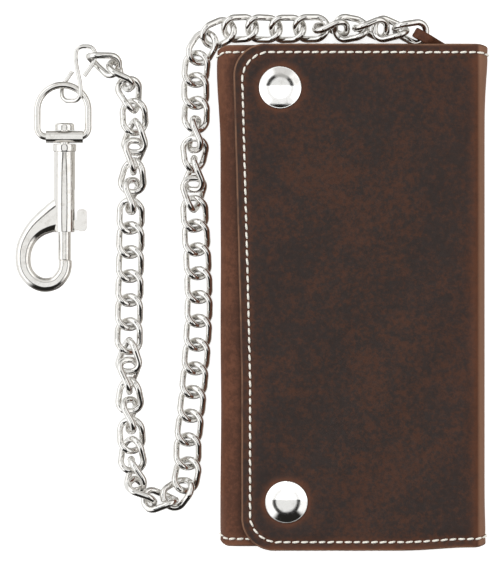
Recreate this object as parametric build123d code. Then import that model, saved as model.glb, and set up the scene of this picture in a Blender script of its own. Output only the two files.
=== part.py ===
from build123d import *
import math
import os

# A long leather wallet that folds round a spine, closes with two press studs on a stud flap,
# and carries a curb chain with an S-hook and a swivel bolt snap.
# Origin: middle of the wallet's back face. +X towards the spine, +Y up the wallet, +Z out of the cover.

# ---------------------------------------------------------------- leather, driving dimensions (mm)
WALLET_LENGTH = 175.4
COVER_LENGTH = 178.4
WALLET_WIDTH = 93.0
WALLET_HEIGHT = 20.0
LEATHER = 1.8
LINING = 0.8
LAYER_GAP = 0.05
BODY_GAP = 0.1
BEND_RADIUS = 4.0
COVER_LEFT_TOP = -42.4
COVER_LEFT_FOOT = -39.3
COVER_CORNER_RADIUS = 11.0
FLAP_TOP = 14.6
FLAP_EDGE = -14.0
PANEL_LENGTH = 172.0
PANEL_LEFT = -37.5

# ---------------------------------------------------------------- press studs
STUD_PLACES = [(-25.5, 73.2), (-23.3, -72.6)]
CAP_DIAMETER = 15.0
CAP_RIM = 0.6
CAP_RIM_ROUND = 0.3
CAP_DOME_DIAMETER = 14.3
CAP_RISE = 1.6
CAP_STEM_DIAMETER = 3.8
STEM_HOLE_DIAMETER = 4.0
SOCKET_DIAMETER = 12.4
SOCKET_HEIGHT = 2.0
SOCKET_BORE = 5.9
STUD_BASE_DIAMETER = 11.4
STUD_BASE_HEIGHT = 0.5
STUD_HEAD_DIAMETER = 5.0
STUD_HEAD_HEIGHT = 2.1
POST_DIAMETER = 9.5
POST_FLANGE = 0.6
POST_TUBE_DIAMETER = 3.0

# ---------------------------------------------------------------- zip purse
ZIP_X = 8.0
ZIP_LENGTH = 140.0
ZIP_WINDOW = 9.0
TAPE_WIDTH = 11.0
TAPE_THICKNESS = 0.5
TOOTH_LENGTH = 2.0
TOOTH_WIDTH = 1.0
TOOTH_HEIGHT = 1.4
TOOTH_PITCH = 2.8
SLIDER_LENGTH = 9.0
SLIDER_WIDTH = 7.0
PULLER_LENGTH = 19.0
PULLER_WIDTH = 5.0

# ---------------------------------------------------------------- curb chain
WIRE = 2.3
LINK_HALF_LENGTH = 5.6
LINK_HALF_WIDTH = 4.25
LINK_TWIST = 40.0
LINK_SHOULDER = 0.55
LINK_REST_GAP = 0.25
CHAIN_SAG = 0.25

# ---------------------------------------------------------------- S-hook and bolt snap
HOOK_WIRE = 1.5
CLIP_X = -101.7
CLIP_Z = 3.75
EYE_WIRE = 2.4
EYE_HALF_WIDTH = 9.0
EYE_TOP = 74.4
EYE_LEAN = -0.6
EYE_BAR_Y = 56.1
EYE_BAR_WIDTH = 13.0
EYE_BAR_DEPTH = 4.2
EYE_BAR_HEIGHT = 5.4
SHANK_DIAMETER = 3.6
SHANK_ROOM = 0.1
RIVET_HEAD_DIAMETER = 7.0
RIVET_HEAD_FOOT = 58.4
RIVET_HEAD_TOP = 61.0
BARREL_DIAMETER = 7.5
BARREL_FOOT = 22.4
BARREL_TOP = 51.0
COLLAR_DIAMETER = 8.3
COLLAR_TOP = 53.5
BORE_DIAMETER = 4.8
BORE_TOP = 47.6
SLOT_TOP = 37.5
SLOT_WIDTH = 2.3
BOLT_DIAMETER = 4.5
BOLT_TIP = 12.45
BOLT_END = 33.0
LIMB_DIAMETER = 5.1
LIMB_LEFT = -14.6
LIMB_FOOT = 3.6
LIMB_TIP = 12.3

# ---------------------------------------------------------------- heights worked out from the layers
SPINE_X = WALLET_WIDTH / 2
FOLD_RADIUS = FLAP_TOP / 2
FOLD_X = -WALLET_WIDTH / 2 + FOLD_RADIUS
BEND_X = SPINE_X - BEND_RADIUS
COVER_FOOT = WALLET_HEIGHT - LEATHER
COVER_LINING_FOOT = COVER_FOOT - LAYER_GAP - LINING
STEP = LINING + LAYER_GAP
BACK_LINING_FOOT = LEATHER + LAYER_GAP
DIVIDER_FOOT = BACK_LINING_FOOT + STEP
NOTE_POCKET_FOOT = DIVIDER_FOOT + STEP
PURSE_BACK_FOOT = NOTE_POCKET_FOOT + STEP
SLIDER_ROOM = 1.75
TAPE_FOOT = PURSE_BACK_FOOT + LINING + SLIDER_ROOM
PURSE_FRONT_FOOT = TAPE_FOOT + TAPE_THICKNESS + LAYER_GAP
PURSE_TOP = PURSE_FRONT_FOOT + LINING
TOOTH_MIDDLE = TAPE_FOOT + TAPE_THICKNESS / 2
FLAP_FOOT = FLAP_TOP - LEATHER
FLAP_LINING_FOOT = FLAP_FOOT - LAYER_GAP - LINING
SOCKET_FOOT = COVER_LINING_FOOT - LAYER_GAP - SOCKET_HEIGHT


# ---------------------------------------------------------------- helpers
def save(name, *shapes):
    """Write one node, made of one or more separate solids."""
    node = shapes[0] if len(shapes) == 1 else Compound(children=list(shapes))
    export_step(node, f"parts/{name}.step")


def block(x0, x1, y0, y1, z0, z1):
    """A plain box between two corners."""
    centre = Pos((x0 + x1) / 2, (y0 + y1) / 2, (z0 + z1) / 2)
    return centre * Box(x1 - x0, y1 - y0, z1 - z0)


def slab(outline, foot, thickness):
    """A flat piece of leather: an outline raised from its foot height."""
    return Pos(0, 0, foot) * extrude(outline, thickness)


def outline(points, radii):
    """A closed outline whose corners are rounded, one radius for each point."""
    path = FilletPolyline(*points, radius=radii, close=True)
    return make_face(path)


def drum(diameter, x, y, z0, z1):
    """An upright cylinder."""
    return Pos(x, y, (z0 + z1) / 2) * Cylinder(diameter / 2, z1 - z0)


def widest_radii(points, closed):
    """The largest corner radii that the runs of a route leave room for."""
    runs = [Vector(*b) - Vector(*a) for a, b in zip(points, points[1:])]
    if closed:
        runs.append(Vector(*points[0]) - Vector(*points[-1]))
        corners = [(runs[i - 1], runs[i]) for i in range(len(points))]
    else:
        corners = list(zip(runs, runs[1:]))
    room = 0.49
    return [
        room * min(a.length, b.length) / math.tan(math.radians(a.get_angle(b)) / 2)
        for a, b in corners
    ]


def wire_sweep(path, diameter):
    """Round wire along a path."""
    section = Plane(origin=path @ 0, z_dir=path % 0) * Circle(diameter / 2)
    return sweep(section, path=path)


def wire_loop(points, radii, diameter):
    """A closed ring of round wire through the given corners, swept in two halves."""
    runs = FilletPolyline(*points, radius=radii, close=True).edges()
    middle = len(runs) // 2
    return wire_sweep(Wire(runs[:middle]), diameter) + wire_sweep(Wire(runs[middle:]), diameter)


def wire_run(points, radii, diameter):
    """An open length of round wire along a route with rounded corners."""
    return wire_sweep(FilletPolyline(*points, radius=radii), diameter)


def upright_bend(centre_x, centre_z, radius, thickness, length, start, turn):
    """Leather bent round an axis along Y: part of a tube, from one angle on through a turn."""
    ring = Circle(radius) - Circle(radius - thickness)
    reach = 2 * radius
    edge = (reach * math.cos(math.radians(start)), reach * math.sin(math.radians(start)))
    middle = (
        2 * reach * math.cos(math.radians(start + turn / 2)),
        2 * reach * math.sin(math.radians(start + turn / 2)),
    )
    finish = (
        reach * math.cos(math.radians(start + turn)),
        reach * math.sin(math.radians(start + turn)),
    )
    wedge = make_face(Polyline((0, 0), edge, middle, finish, close=True))
    plane = Plane(origin=(centre_x, length / 2, centre_z), x_dir=(1, 0, 0), z_dir=(0, -1, 0))
    return extrude(plane * (ring & wedge), length)


# ---------------------------------------------------------------- outer leather
def stem_holes(z0, z1):
    """The punched holes that the press studs' stems go through."""
    return [drum(STEM_HOLE_DIAMETER, x, y, z0, z1) for x, y in STUD_PLACES]


def make_outer_leather():
    half = WALLET_LENGTH / 2
    save("back_leather", block(FOLD_X, BEND_X, -half, half, 0, LEATHER))
    save(
        "spine_lower_bend",
        upright_bend(BEND_X, BEND_RADIUS, BEND_RADIUS, LEATHER, WALLET_LENGTH, -90, 90),
    )
    spine_foot = BEND_RADIUS + BODY_GAP
    spine_top = WALLET_HEIGHT - BEND_RADIUS
    save("spine_leather", block(SPINE_X - LEATHER, SPINE_X, -half, half, spine_foot, spine_top))
    save(
        "spine_upper_bend",
        upright_bend(BEND_X, spine_top, BEND_RADIUS, LEATHER, WALLET_LENGTH, 0, 90),
    )
    save(
        "left_fold",
        upright_bend(FOLD_X, FOLD_RADIUS, FOLD_RADIUS, LEATHER, WALLET_LENGTH, 90, 180),
    )


def cover_outline(inset):
    """The cover's cut edge, with its two large round corners, moved in by an inset."""
    half = COVER_LENGTH / 2 - inset
    right = BEND_X - BODY_GAP
    corner = COVER_CORNER_RADIUS - inset
    points = [
        (right, half),
        (COVER_LEFT_TOP + inset, half),
        (COVER_LEFT_FOOT + inset, -half),
        (right, -half),
    ]
    square = 0.2
    return outline(points, [square, corner, corner, square])


def make_cover():
    holes = stem_holes(COVER_LINING_FOOT - 1, WALLET_HEIGHT + 1)
    save("cover_leather", slab(cover_outline(0), COVER_FOOT, LEATHER) - holes)
    save("cover_lining", slab(cover_outline(1.2), COVER_LINING_FOOT, LINING) - holes)
    right = BEND_X - 2.0
    half = PANEL_LENGTH / 2
    lefts = {
        "cover_note_pocket": -12.0,
        "card_slot_back": -4.0,
        "card_slot_middle": 7.0,
        "card_slot_front": 18.0,
    }
    for layer, (name, left) in enumerate(lefts.items(), start=1):
        foot = COVER_LINING_FOOT - layer * STEP
        save(name, block(left, right, -half, half, foot, foot + LINING))


def make_flap():
    half = WALLET_LENGTH / 2
    corner = 6.0
    square = 0.2
    left = FOLD_X + BODY_GAP
    points = [(FLAP_EDGE, half), (left, half), (left, -half), (FLAP_EDGE, -half)]
    holes = stem_holes(FLAP_LINING_FOOT - 1, FLAP_TOP + 1)
    shape = outline(points, [corner, square, square, corner])
    save("flap_leather", slab(shape, FLAP_FOOT, LEATHER) - holes)
    inset = 1.0
    points = [
        (FLAP_EDGE - inset, half - inset),
        (left + inset, half - inset),
        (left + inset, inset - half),
        (FLAP_EDGE - inset, inset - half),
    ]
    shape = outline(points, [corner - inset, square, square, corner - inset])
    save("flap_lining", slab(shape, FLAP_LINING_FOOT, LINING) - holes)


# ---------------------------------------------------------------- inside of the back
def back_panel(right, foot, cut):
    """A full-length inner panel; its top right corner is cut away where the chain tab comes out."""
    half = PANEL_LENGTH / 2
    rise = cut * math.tan(math.radians(30))
    square = 0.2
    points = [
        (PANEL_LEFT, -half),
        (right, -half),
        (right, half - rise),
        (right - cut, half),
        (PANEL_LEFT, half),
    ]
    return slab(outline(points, [square] * len(points)), foot, LINING)


def make_back_inside():
    half = PANEL_LENGTH / 2
    lining_right = BEND_X - 1.5
    save("back_lining", block(PANEL_LEFT, lining_right, -half, half, BACK_LINING_FOOT, DIVIDER_FOOT - LAYER_GAP))
    save("note_divider", back_panel(38.0, DIVIDER_FOOT, 20.0))
    save("note_pocket", back_panel(34.0, NOTE_POCKET_FOOT, 16.0))
    save("purse_back", back_panel(30.0, PURSE_BACK_FOOT, 12.0))
    front = back_panel(30.0, PURSE_FRONT_FOOT, 12.0)
    window = Pos(ZIP_X, 0, 0) * SlotOverall(ZIP_LENGTH + ZIP_WINDOW, ZIP_WINDOW, rotation=90)
    save("purse_front", front - slab(window, PURSE_FRONT_FOOT - 1, LINING + 2))


# ---------------------------------------------------------------- zip
def make_zip():
    half = ZIP_LENGTH / 2 + 5.0
    inner = TOOTH_LENGTH - 0.45
    top = TAPE_FOOT + TAPE_THICKNESS
    tapes = [
        block(ZIP_X + inner, ZIP_X + inner + TAPE_WIDTH, -half, half, TAPE_FOOT, top),
        block(ZIP_X - inner - TAPE_WIDTH, ZIP_X - inner, -half, half, TAPE_FOOT, top),
    ]
    save("zip_tape", *tapes)
    teeth = []
    count = int(ZIP_LENGTH / TOOTH_PITCH)
    shape = Box(TOOTH_LENGTH, TOOTH_WIDTH, TOOTH_HEIGHT)
    reach = TOOTH_LENGTH / 2 - 0.5
    for i in range(count):
        y = (i - (count - 1) / 2) * TOOTH_PITCH
        teeth.append(Pos(ZIP_X + reach, y, TOOTH_MIDDLE) * shape)
        teeth.append(Pos(ZIP_X - reach, y + TOOTH_PITCH / 2, TOOTH_MIDDLE) * shape)
    save("zip_teeth", *teeth)


def make_slider():
    """The slider's two plates and the bail that holds the puller, at the closed end of the zip."""
    y = ZIP_LENGTH / 2 - SLIDER_LENGTH
    clear = 0.3
    plate = 0.8
    roof = TOOTH_MIDDLE + TOOTH_HEIGHT / 2 + clear
    floor = TOOTH_MIDDLE - TOOTH_HEIGHT / 2 - clear
    size = (SLIDER_WIDTH, SLIDER_LENGTH, plate)
    upper = Pos(ZIP_X, y, roof + plate / 2) * Box(*size)
    upper = fillet(upper.edges().filter_by(Axis.Z), 1.5)
    lower = Pos(ZIP_X, y, floor - plate / 2) * Box(*size)
    lower = fillet(lower.edges().filter_by(Axis.Z), 1.5)
    flange = 0.8
    for side in (-1, 1):
        x = ZIP_X + side * (SLIDER_WIDTH / 2 - flange / 2)
        above = (TAPE_FOOT + TAPE_THICKNESS + clear, roof + plate / 2)
        upper += block(x - flange / 2, x + flange / 2, y - 3, y + 3, *above)
        below = (floor - plate / 2, TAPE_FOOT - clear)
        lower += block(x - flange / 2, x + flange / 2, y - 3, y + 3, *below)
    bail_top = roof + plate + 2.2
    bail = block(ZIP_X - 0.9, ZIP_X + 0.9, y - 3.2, y + 3.2, roof + plate / 2, bail_top)
    bail -= block(ZIP_X - 2, ZIP_X + 2, y - 2.2, y + 2.2, roof + plate, bail_top - 0.8)
    save("zip_slider", upper + bail, lower)
    ring_z = roof + plate + 0.7
    ring = Pos(ZIP_X, y - 2.0, ring_z) * Torus(2.0, 0.45)
    tag_top = y - 3.6
    tag = block(
        ZIP_X - PULLER_WIDTH / 2,
        ZIP_X + PULLER_WIDTH / 2,
        tag_top - PULLER_LENGTH,
        tag_top,
        ring_z - 0.5,
        ring_z + 0.5,
    )
    tag = fillet(tag.edges().filter_by(Axis.Z), 1.2)
    save("zip_puller", ring + tag)


# ---------------------------------------------------------------- press studs
def make_press_studs():
    caps = []
    sockets = []
    studs = []
    posts = []
    stem_foot = SOCKET_FOOT + SOCKET_HEIGHT - 0.6
    dome_radius = ((CAP_DOME_DIAMETER / 2) ** 2 + CAP_RISE**2) / (2 * CAP_RISE)
    dome_middle = WALLET_HEIGHT + CAP_RIM + CAP_RISE - dome_radius
    for x, y in STUD_PLACES:
        rim = drum(CAP_DIAMETER, x, y, WALLET_HEIGHT, WALLET_HEIGHT + CAP_RIM)
        rim = fillet(rim.edges().filter_by(GeomType.CIRCLE).sort_by(Axis.Z)[-1], CAP_RIM_ROUND)
        ball = Pos(x, y, dome_middle) * Sphere(dome_radius)
        dome = ball & drum(CAP_DOME_DIAMETER, x, y, WALLET_HEIGHT + CAP_RIM / 2, WALLET_HEIGHT + 4)
        stem = drum(CAP_STEM_DIAMETER, x, y, stem_foot, WALLET_HEIGHT + CAP_RIM / 2)
        caps.append(rim + dome + stem)

        socket_top = SOCKET_FOOT + SOCKET_HEIGHT
        socket = drum(SOCKET_DIAMETER, x, y, socket_top - 0.7, socket_top)
        socket += drum(SOCKET_DIAMETER - 3, x, y, SOCKET_FOOT, socket_top)
        socket -= drum(SOCKET_BORE, x, y, SOCKET_FOOT - 1, socket_top - 0.5)
        socket -= drum(STEM_HOLE_DIAMETER, x, y, SOCKET_FOOT, socket_top + 1)
        sockets.append(socket)

        stud = drum(STUD_BASE_DIAMETER, x, y, FLAP_TOP, FLAP_TOP + STUD_BASE_HEIGHT)
        head_top = FLAP_TOP + STUD_HEAD_HEIGHT
        head = drum(STUD_HEAD_DIAMETER, x, y, FLAP_TOP, head_top)
        head = fillet(head.edges().filter_by(GeomType.CIRCLE).sort_by(Axis.Z)[-1], 0.6)
        tube_top = head_top - 0.7
        stud = stud + head - drum(POST_TUBE_DIAMETER + 0.2, x, y, FLAP_TOP - 1, tube_top)
        studs.append(stud)

        post_foot = FLAP_LINING_FOOT - LAYER_GAP - POST_FLANGE
        post = drum(POST_DIAMETER, x, y, post_foot, post_foot + POST_FLANGE)
        post += drum(POST_TUBE_DIAMETER, x, y, post_foot, tube_top - 0.2)
        posts.append(post)
    save("snap_caps", *caps)
    save("snap_sockets", *sockets)
    save("snap_studs", *studs)
    save("snap_posts", *posts)


# ---------------------------------------------------------------- chain tab
TAB_DIRECTION = 150.0
TAB_NOSE = (24.7, 91.6)
TAB_WIDTH = 3.6
TAB_LEATHER = 1.2
TAB_Z = 5.2
TAB_RISE = 2.7


def make_chain_tab():
    """A strap folded round the first link, its two tails lying on each other inside the wallet."""
    along = Vector(math.cos(math.radians(TAB_DIRECTION)), math.sin(math.radians(TAB_DIRECTION)), 0)
    plane = Plane(
        origin=(TAB_NOSE[0], TAB_NOSE[1], 0),
        x_dir=along,
        z_dir=along.cross(Vector(0, 0, 1)),
    )
    lower = DIVIDER_FOOT + LAYER_GAP + TAB_LEATHER / 2
    upper = lower + TAB_LEATHER + LAYER_GAP
    side = [
        (-18.0, lower),
        (-6.5, lower),
        (-3.0, TAB_Z - TAB_RISE),
        (2.6, TAB_Z - TAB_RISE),
        (2.6, TAB_Z + TAB_RISE),
        (-3.0, TAB_Z + TAB_RISE),
        (-6.5, upper),
        (-18.0, upper),
    ]
    points = [plane.from_local_coords((s, z, 0)) for s, z in side]
    path = FilletPolyline(*points, radius=[2.5, 2.5, 2.1, 2.1, 2.5, 2.5])
    section = Plane(origin=path @ 0, x_dir=plane.z_dir, z_dir=path % 0)
    save("chain_tab", sweep(section * Rectangle(TAB_WIDTH, TAB_LEATHER), path=path))


# ---------------------------------------------------------------- chain
CHAIN_ROUTE = [
    (20.5, 93.2),
    (12.0, 94.1),
    (0.0, 94.4),
    (-17.0, 94.4),
    (-30.0, 94.3),
    (-40.5, 94.4),
    (-48.4, 92.2),
    (-53.5, 86.7),
    (-55.3, 79.0),
    (-55.3, 66.0),
    (-55.7, 52.0),
    (-56.0, 38.0),
    (-55.4, 24.0),
    (-54.5, 8.0),
    (-54.3, -6.0),
    (-55.0, -19.0),
    (-56.2, -33.0),
    (-57.4, -45.0),
    (-58.2, -54.0),
    (-58.4, -62.5),
    (-61.2, -69.2),
    (-67.9, -72.2),
    (-74.6, -69.2),
    (-77.3, -62.0),
    (-77.9, -53.0),
    (-78.4, -43.0),
    (-78.8, -32.0),
    (-79.0, -12.0),
    (-78.8, 0.0),
    (-78.5, 13.0),
    (-78.3, 25.0),
    (-77.9, 37.5),
    (-77.2, 47.0),
    (-76.9, 57.5),
    (-77.4, 66.0),
    (-79.4, 73.8),
    (-83.8, 79.9),
    (-89.8, 83.0),
    (-96.0, 84.0),
]

# steps along the chain: how many, how far apart, and how much each link is rolled on from the last
TWIST = (5, 7.0, [80, 80, 80, 80, 40])
CHAIN_STEPS = [
    (5, 7.0, [80, 80, 80, 80, 80]),
    (3, 8.4, [0]),
    (4, 7.85, [0]),
    (1, 8.4, [0]),
    TWIST,
    (11, 8.42, [0]),
    (6, 7.0, [20, 30, 30, 40, 40, 20]),
    TWIST,
    (5, 8.5, [0]),
    TWIST,
    (3, 7.8, [40, 50, 40]),
]
FIRST_ROLL = -40.0

# the first link of each stretch that turns as one on its hinge
CHAIN_STRETCHES = {
    "chain_top": 0,
    "chain_right": 12,
    "chain_turn": 28,
    "chain_left_lower": 34,
    "chain_left_upper": 42,
    "chain_end": 50,
}


def curb_link():
    """One curb link lying along X: a racetrack of wire, twisted about its length."""
    end = LINK_HALF_LENGTH
    shoulder = LINK_SHOULDER * LINK_HALF_LENGTH
    tip = 0.5 * LINK_HALF_WIDTH
    side = LINK_HALF_WIDTH
    flat = [(end, tip), (shoulder, side), (-shoulder, side), (-end, tip)]
    flat += [(-u, -v) for u, v in flat]
    points = []
    for u, v in flat:
        turn = math.radians(-LINK_TWIST * u / LINK_HALF_LENGTH)
        points.append((u, v * math.cos(turn), v * math.sin(turn)))
    return wire_loop(points, widest_radii(points, True), WIRE)


def link_stations():
    """How far along the chain each link's middle is, and how far the link is rolled over."""
    reach = 0.0
    roll = FIRST_ROLL
    stations = [(reach, roll)]
    for count, pitch, rolls in CHAIN_STEPS:
        for i in range(count):
            reach += pitch
            roll += rolls[i] if i < len(rolls) else 0
            stations.append((reach, roll))
    return stations


def resting_height(roll):
    """How high a link's middle is when its lowest side touches what it lies on."""
    lean = math.asin(abs(math.sin(math.radians(roll))))
    steepest = lean + LINK_SHOULDER * math.radians(LINK_TWIST)
    drop = LINK_HALF_WIDTH * math.sin(min(steepest, math.pi / 2))
    return drop + WIRE / 2 + LINK_REST_GAP


def link_heights(stations):
    """How high each link's middle lies: upright links stand tall and lift their neighbours."""
    rest = [resting_height(roll) for _, roll in stations]
    heights = list(rest)
    settling_rounds = 200
    for _ in range(settling_rounds):
        for i in range(1, len(rest) - 1):
            between = (heights[i - 1] + heights[i + 1]) / 2
            heights[i] = max(rest[i], between - CHAIN_SAG)
    return heights


def link_places():
    """Where each link lies: its middle, the way it points and how it is rolled."""
    route = Spline(*CHAIN_ROUTE)
    stations = link_stations()
    heights = link_heights(stations)
    places = []
    for i, (reach, roll) in enumerate(stations):
        before = max(i - 1, 0)
        after = min(i + 1, len(stations) - 1)
        slope = (heights[after] - heights[before]) / (stations[after][0] - stations[before][0])
        middle = route.position_at(reach, position_mode=PositionMode.LENGTH)
        course = route.tangent_at(reach, position_mode=PositionMode.LENGTH)
        heading = Vector(course.X, course.Y, slope).normalized()
        across = Vector(0, 0, 1).cross(heading).normalized()
        upward = heading.cross(across)
        lean = math.radians(roll)
        width = across * math.cos(lean) + upward * math.sin(lean)
        origin = (middle.X, middle.Y, heights[i])
        places.append(Plane(origin=origin, x_dir=heading, z_dir=heading.cross(width)))
    return places


def make_chain():
    link = curb_link()
    links = [place.location * link for place in link_places()]
    starts = list(CHAIN_STRETCHES.values()) + [len(links)]
    for name, first, last in zip(CHAIN_STRETCHES, starts, starts[1:]):
        save(name, *links[first:last])


# ---------------------------------------------------------------- S-hook
HOOK_CENTRE = (-96.8, 78.4)


def make_s_hook():
    upper = [
        (2.1, -0.95, 5.6),
        (6.2, 5.0, 5.6),
        (5.6, 9.6, 5.6),
        (-0.6, 9.6, 5.6),
        (-1.0, 4.6, 5.8),
    ]
    lower = [
        (1.0, -4.6, 6.2),
        (0.6, -9.6, 6.1),
        (-5.6, -9.6, 2.6),
        (-6.2, -5.0, 1.3),
        (-2.1, 0.95, 1.3),
    ]
    x, y = HOOK_CENTRE
    points = [(x + a, y + b, c) for a, b, c in upper + lower]
    save("s_hook", wire_run(points, widest_radii(points, False), HOOK_WIRE))


# ---------------------------------------------------------------- swivel bolt snap
def clip_place(shape):
    """Move a piece from the clip's own axis to where the clip lies."""
    return Pos(CLIP_X, 0, CLIP_Z) * shape


def rod(diameter, y0, y1):
    """A round bar along the clip's axis."""
    return Pos(0, (y0 + y1) / 2, 0) * Rot(90, 0, 0) * Cylinder(diameter / 2, y1 - y0)


def make_swivel_eye():
    left = EYE_LEAN - EYE_HALF_WIDTH
    right = EYE_LEAN + EYE_HALF_WIDTH
    points = [(left, EYE_BAR_Y, 0), (left, EYE_TOP, 0), (right, EYE_TOP, 0), (right, EYE_BAR_Y, 0)]
    ring = wire_loop(points, [3.2, 8.9, 8.9, 3.2], EYE_WIRE)
    bar = Pos(0, EYE_BAR_Y, 0) * Box(EYE_BAR_WIDTH, EYE_BAR_DEPTH, EYE_BAR_HEIGHT)
    bar = fillet(bar.edges().filter_by(Axis.X), 1.6)
    eye = ring + bar - rod(SHANK_DIAMETER + SHANK_ROOM, EYE_BAR_Y - 4, EYE_BAR_Y + 4)
    save("swivel_eye", clip_place(eye))


def make_rivet():
    shank = rod(SHANK_DIAMETER, BARREL_TOP, RIVET_HEAD_FOOT + 0.1)
    head = rod(RIVET_HEAD_DIAMETER, RIVET_HEAD_FOOT, RIVET_HEAD_TOP)
    head = fillet(head.edges().filter_by(GeomType.CIRCLE).sort_by(Axis.Y)[-1], 1.1)
    save("swivel_rivet", clip_place(shank + head))


def make_snap_body():
    barrel = rod(BARREL_DIAMETER, BARREL_FOOT, BARREL_TOP)
    collar = rod(COLLAR_DIAMETER, BARREL_TOP - 0.2, COLLAR_TOP)
    limb_path = [
        (-0.6, 31.0, 0),
        (LIMB_LEFT, 17.6, 0),
        (LIMB_LEFT, LIMB_FOOT, 0),
        (0.1, LIMB_FOOT, 0),
        (0.1, LIMB_TIP, 0),
    ]
    limb = wire_run(limb_path, [8.0, 7.6, 7.6], LIMB_DIAMETER)
    bore = rod(BORE_DIAMETER, BARREL_FOOT - 9, BORE_TOP)
    mouth = block(-20, 20, LIMB_TIP, BARREL_FOOT, -4, 4)
    guard = block(-20, -BORE_DIAMETER / 2 - 0.2, LIMB_TIP, BARREL_FOOT, -4, 4)
    slot = block(0, 5, BARREL_FOOT - 1, SLOT_TOP, -SLOT_WIDTH / 2, SLOT_WIDTH / 2)
    body = barrel + collar + (limb - (mouth - guard)) - bore - slot
    body -= rod(SHANK_DIAMETER + SHANK_ROOM, BARREL_TOP - 0.01, COLLAR_TOP + 1)
    save("snap_body", clip_place(body))


def make_bolt():
    bolt = rod(BOLT_DIAMETER, BOLT_TIP, BOLT_END)
    bolt = fillet(bolt.edges().filter_by(GeomType.CIRCLE).sort_by(Axis.Y)[0], 0.4)
    stem = block(1.5, 5.4, 23.0, 26.6, -0.85, 0.85)
    knob = block(4.5, 7.9, 22.7, 30.6, -1.7, 1.7)
    knob = fillet(knob.edges().filter_by(Axis.Z), 1.3)
    save("snap_bolt", clip_place(bolt + stem + knob))


def make_bolt_spring():
    wire = 0.45
    radius = 1.85
    foot = BOLT_END + 0.3
    length = BORE_TOP - foot - 0.3
    turns = 8
    path = Helix(pitch=(length - wire) / turns, height=length - wire, radius=radius)
    coil = wire_sweep(path, wire)
    placed = Pos(0, foot + wire / 2, 0) * Rot(-90, 0, 0) * coil
    save("bolt_spring", clip_place(placed))


# ---------------------------------------------------------------- the whole part
def main():
    os.makedirs("parts", exist_ok=True)
    make_outer_leather()
    make_cover()
    make_flap()
    make_back_inside()
    make_zip()
    make_slider()
    make_press_studs()
    make_chain_tab()
    make_chain()
    make_s_hook()
    make_swivel_eye()
    make_rivet()
    make_snap_body()
    make_bolt()
    make_bolt_spring()


main()
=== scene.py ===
import math

import bpy
import numpy as np
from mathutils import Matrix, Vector


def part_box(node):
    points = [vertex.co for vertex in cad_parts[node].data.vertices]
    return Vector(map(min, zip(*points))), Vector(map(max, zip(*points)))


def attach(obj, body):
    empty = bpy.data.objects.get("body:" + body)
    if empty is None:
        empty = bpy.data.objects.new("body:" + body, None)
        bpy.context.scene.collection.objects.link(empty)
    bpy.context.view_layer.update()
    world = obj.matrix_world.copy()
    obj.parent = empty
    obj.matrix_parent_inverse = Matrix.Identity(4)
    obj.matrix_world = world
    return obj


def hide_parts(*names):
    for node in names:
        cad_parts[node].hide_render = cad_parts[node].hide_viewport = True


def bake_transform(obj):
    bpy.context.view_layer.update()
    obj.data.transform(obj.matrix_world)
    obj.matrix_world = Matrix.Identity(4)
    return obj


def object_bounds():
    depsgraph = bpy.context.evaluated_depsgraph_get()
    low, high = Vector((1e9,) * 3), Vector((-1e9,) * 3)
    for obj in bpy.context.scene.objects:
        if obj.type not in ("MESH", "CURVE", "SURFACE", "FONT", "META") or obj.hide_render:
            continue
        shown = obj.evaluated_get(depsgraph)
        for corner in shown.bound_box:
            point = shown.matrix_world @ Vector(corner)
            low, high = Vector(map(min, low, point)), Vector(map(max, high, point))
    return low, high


# A long chain wallet lying on its back, seen from straight above. The shapes are worked out in
# millimetres, and MM turns them into the frame's metres; camera, floor and lamps are in metres.
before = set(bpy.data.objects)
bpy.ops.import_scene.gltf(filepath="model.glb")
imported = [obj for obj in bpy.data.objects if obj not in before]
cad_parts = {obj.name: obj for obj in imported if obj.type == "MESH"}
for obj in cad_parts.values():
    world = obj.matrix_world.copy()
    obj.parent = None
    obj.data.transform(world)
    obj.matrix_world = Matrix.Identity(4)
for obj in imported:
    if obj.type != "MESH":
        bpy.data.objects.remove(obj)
CAD_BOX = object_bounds()
MM = 0.001
RNG = np.random.default_rng(7)

# ---------------------------------------------------------------- sizes taken from the frame
def box_mm(node):
    low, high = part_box(node)
    return [v / MM for v in low], [v / MM for v in high]


COVER_LOW, COVER_HIGH = box_mm("cover_leather")
BACK_LOW, BACK_HIGH = box_mm("back_leather")
FOLD_LOW, FOLD_HIGH = box_mm("left_fold")
FLAP_LOW, FLAP_HIGH = box_mm("flap_leather")
SPINE_X = box_mm("spine_leather")[1][0]
TOP_Z = COVER_HIGH[2]
LEATHER = COVER_HIGH[2] - COVER_LOW[2]
BEND = 4.0
BEND_X = SPINE_X - BEND
SEAM_Z = TOP_Z / 2
COVER_HALF = COVER_HIGH[1]
BACK_HALF = BACK_HIGH[1]
FOLD_X = FOLD_HIGH[0]
FOLD_RADIUS = FOLD_HIGH[2] / 2
FLAP_TOP = FLAP_HIGH[2]
FLAP_EDGE = FLAP_HIGH[0]
CAP_LOW, CAP_HIGH = box_mm("snap_caps")
CAP_RADIUS = 7.5
CAPS = [
    (CAP_LOW[0] + CAP_RADIUS, CAP_HIGH[1] - CAP_RADIUS),
    (CAP_HIGH[0] - CAP_RADIUS, CAP_LOW[1] + CAP_RADIUS),
]
CUT_SLOPE = math.tan(math.radians(30))


# ---------------------------------------------------------------- camera, floor and light
def make_camera():
    frame_height, distance = 0.19775, 3.0
    view_centre, middle_height = (-0.0361, 0.0053), 0.012
    data = bpy.data.cameras.new("camera")
    data.sensor_width = 36.0
    data.lens = data.sensor_width * distance / frame_height
    data.clip_start = 0.05
    data.clip_end = 60.0
    camera = bpy.data.objects.new("camera", data)
    camera.location = (*view_centre, distance + middle_height)
    bpy.context.scene.collection.objects.link(camera)
    bpy.context.scene.camera = camera


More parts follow.
